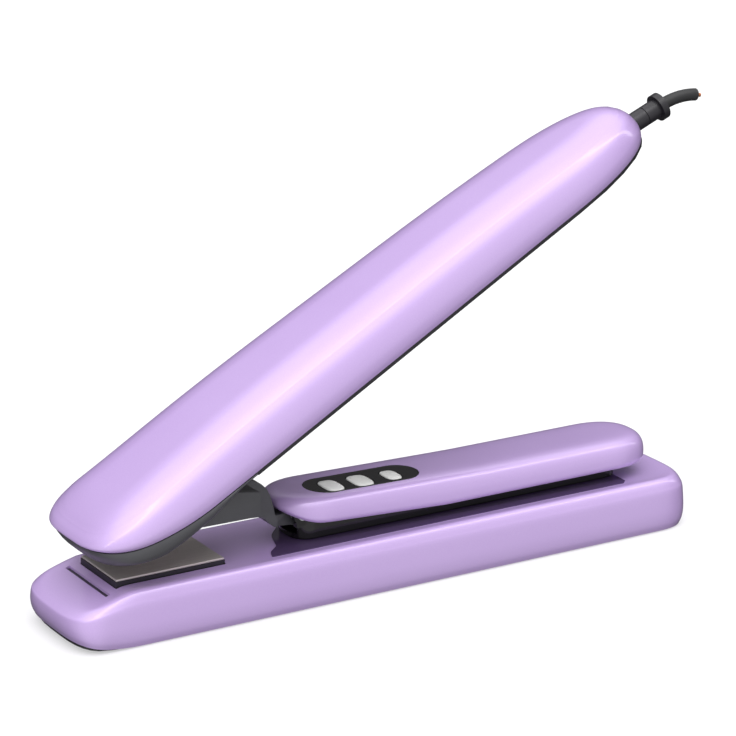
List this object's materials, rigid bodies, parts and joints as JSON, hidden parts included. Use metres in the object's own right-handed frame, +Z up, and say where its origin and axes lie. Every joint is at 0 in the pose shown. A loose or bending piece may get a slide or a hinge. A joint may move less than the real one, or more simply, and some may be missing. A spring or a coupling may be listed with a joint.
{
  "type": "flat iron",
  "caption": "Hair flat iron: low base arm with heating plate and control handle, long upper arm on a wishbone link, swivelling cord end.",
  "frame": {"origin": "on the ground under the middle of the base arm", "axes": "+X from the nose to the tail of the base arm, +Y across it away from a viewer in front, +Z up"},
  "size_m": [0.293, 0.0582, 0.1759],
  "materials": {
    "lavender_shell": "pearl gloss",
    "black_plastic": "satin",
    "gloss_black": "gloss",
    "grey_plastic": "satin",
    "aubergine_gloss": "gloss",
    "titanium": "satin",
    "silver_button": "satin",
    "steel": "satin",
    "bronze": "satin",
    "rubber": "matte",
    "ceramic": "matte",
    "board": "satin",
    "component": "matte",
    "copper": "satin"
  },
  "bodies": {
    "base_arm": {"base_shell": "lavender_shell", "base_chassis": "grey_plastic", "bottom_cover": "black_plastic", "rubber_feet": "rubber", "cover_screws": "steel", "nose_vent": "black_plastic", "plate_tray": "black_plastic", "float_pads": "rubber", "deck_inlay": "aubergine_gloss", "handle_frame": "gloss_black", "handle_cover": "lavender_shell", "control_panel": "gloss_black", "button_board": "board", "tact_switches": "steel", "handle_screws": "steel", "power_board": "board", "board_parts": "component", "board_standoffs": "steel", "base_harness": "copper", "swing_pin": "steel", "swing_springs": "steel"},
    "lower_plate_set": {"lower_plate": "titanium", "lower_plate_holder": "black_plastic", "lower_heater": "ceramic", "lower_sensor": "ceramic"},
    "power_key": {"button_power": "silver_button"},
    "up_key": {"button_up": "silver_button"},
    "down_key": {"button_down": "silver_button"},
    "link": {"hinge_link": "grey_plastic", "link_bushes": "bronze", "tilt_pin": "steel", "tilt_springs": "steel"},
    "upper_arm": {"upper_shell": "lavender_shell", "upper_liner": "black_plastic", "upper_chin": "grey_plastic", "leaf_spring": "steel", "chin_screws": "steel", "upper_harness": "copper", "swivel_housing": "black_plastic", "slip_contacts": "bronze"},
    "upper_plate_set": {"upper_plate": "titanium", "upper_plate_holder": "black_plastic", "upper_heater": "ceramic", "thermal_fuse": "ceramic"},
    "cord_end": {"cord_sleeve": "black_plastic", "cord": "rubber", "cord_cores": "copper"}
  },
  "joints": [
    {"name": "link_swing", "type": "hinge", "parent": "base_arm", "child": "link", "pos_m": [-0.036, 0, 0.0319], "axis": [0, -1, 0], "range_deg": [0, 13.9]},
    {"name": "arm_tilt", "type": "hinge", "parent": "link", "child": "upper_arm", "pos_m": [-0.09622, 0, 0.04927], "axis": [0, -1, 0], "range_deg": [-42.8, 0]},
    {"name": "lower_plate_float", "type": "slide", "parent": "base_arm", "child": "lower_plate_set", "axis": [0, 0, -1], "range_m": [0, 0.0009], "stiffness_N_per_m": 2000, "deforming": ["float_pads"]},
    {"name": "upper_plate_float", "type": "slide", "parent": "upper_arm", "child": "upper_plate_set", "axis": [-0.4802, 0, 0.8771], "range_m": [0, 0.0009], "stiffness_N_per_m": 2000, "deforming": ["leaf_spring"]},
    {"name": "power_press", "type": "slide", "parent": "base_arm", "child": "power_key", "axis": [0, 0, -1], "range_m": [0, 0.0008]},
    {"name": "up_press", "type": "slide", "parent": "base_arm", "child": "up_key", "axis": [0, 0, -1], "range_m": [0, 0.0008]},
    {"name": "down_press", "type": "slide", "parent": "base_arm", "child": "down_key", "axis": [0, 0, -1], "range_m": [0, 0.0008]},
    {"name": "cord_swivel", "type": "hinge", "parent": "upper_arm", "child": "cord_end", "pos_m": [0.12095, 0, 0.16487], "axis": [0.9191, 0, 0.3939], "continuous": true}
  ],
  "couplings": [
    {"joint": "arm_tilt", "follows": "link_swing", "ratio": -3.0651}
  ]
}
